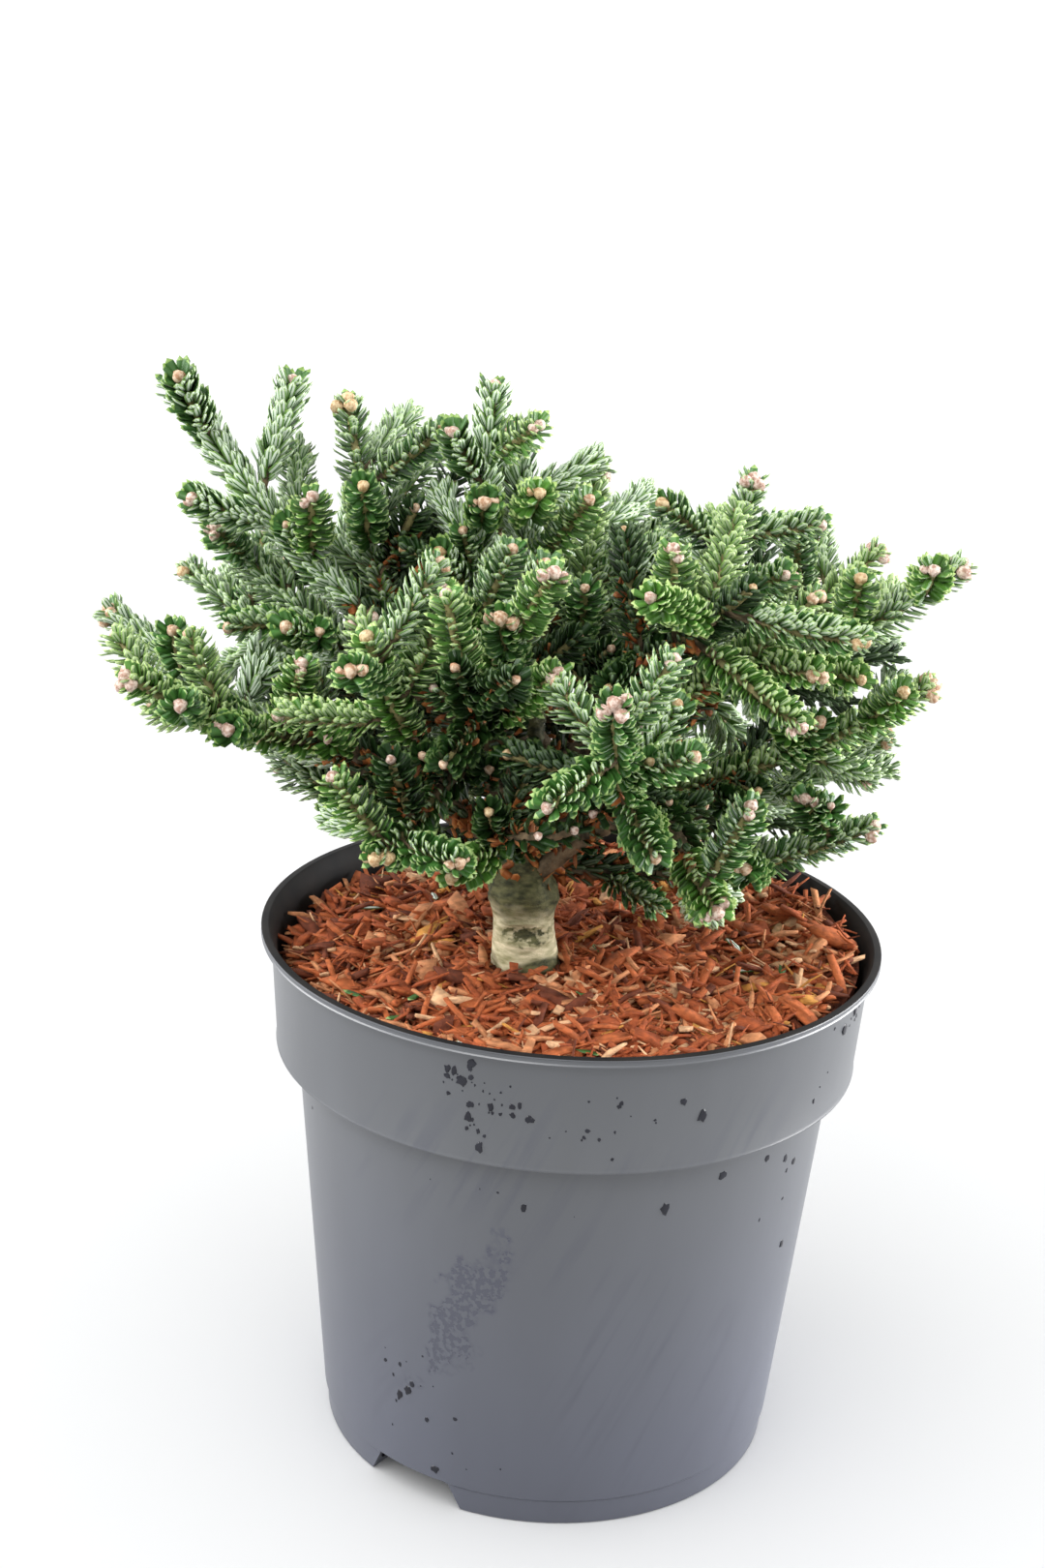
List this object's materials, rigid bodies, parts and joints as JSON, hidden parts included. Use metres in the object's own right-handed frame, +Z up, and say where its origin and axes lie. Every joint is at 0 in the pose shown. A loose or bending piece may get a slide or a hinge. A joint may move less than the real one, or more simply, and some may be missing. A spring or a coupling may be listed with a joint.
{
  "type": "potted korean fir",
  "caption": "Dwarf Korean fir with short trunk, boughs and dense needle-clothed shoots, planted in a round nursery pot filled with bark mulch.",
  "frame": {"origin": "centre of the pot's flat underside, on the pot's axis at ground level", "axes": "+Z up along the pot's axis, -Y towards the front of the plant, +X to the right of it"},
  "size_m": [0.2314, 0.2069, 0.3083],
  "materials": {
    "pot": "satin black moulded plastic",
    "mulch": "shredded red-brown bark",
    "bark": "grey-olive smooth young bark with fine ridges",
    "foliage": "glossy green needles, silver-white underneath"
  },
  "bodies": {
    "root": {"pot": "pot", "mulch": "mulch", "trunk": "bark", "bough_upper_left": "bark", "bough_top_left": "bark", "bough_mid_left": "bark", "bough_left": "bark", "bough_front_left": "bark", "bough_back_left": "bark", "bough_low_left": "bark", "bough_upright_left": "bark", "bough_under_left": "bark", "bough_crest_left": "bark", "bough_crest_right": "bark", "bough_top_right": "bark", "bough_inner_right": "bark", "bough_upper_right": "bark", "bough_shoulder_right": "bark", "bough_back_right_high": "bark", "bough_right": "bark", "bough_back_right": "bark", "bough_low_right": "bark", "bough_under_right": "bark", "bough_front_right": "bark", "bough_rear_left": "bark", "bough_rear_centre": "bark", "bough_rear_right": "bark", "foliage_crest": "foliage", "foliage_upper_left": "foliage", "foliage_top_left": "foliage", "foliage_mid_left": "foliage", "foliage_left": "foliage", "foliage_front_left": "foliage", "foliage_back_left": "foliage", "foliage_low_left": "foliage", "foliage_upright_left": "foliage", "foliage_under_left": "foliage", "foliage_crest_left": "foliage", "foliage_crest_right": "foliage", "foliage_top_right": "foliage", "foliage_inner_right": "foliage", "foliage_upper_right": "foliage", "foliage_shoulder_right": "foliage", "foliage_back_right_high": "foliage", "foliage_right": "foliage", "foliage_back_right": "foliage", "foliage_low_right": "foliage", "foliage_under_right": "foliage", "foliage_front_right": "foliage", "foliage_front_centre": "foliage", "foliage_front_high": "foliage", "foliage_front_low": "foliage", "foliage_front_left_high": "foliage", "foliage_rear_left": "foliage", "foliage_rear_centre": "foliage", "foliage_rear_right": "foliage", "foliage_rear_high": "foliage", "foliage_rear_low": "foliage", "foliage_rear_low_right": "foliage"}
  },
  "joints": []
}
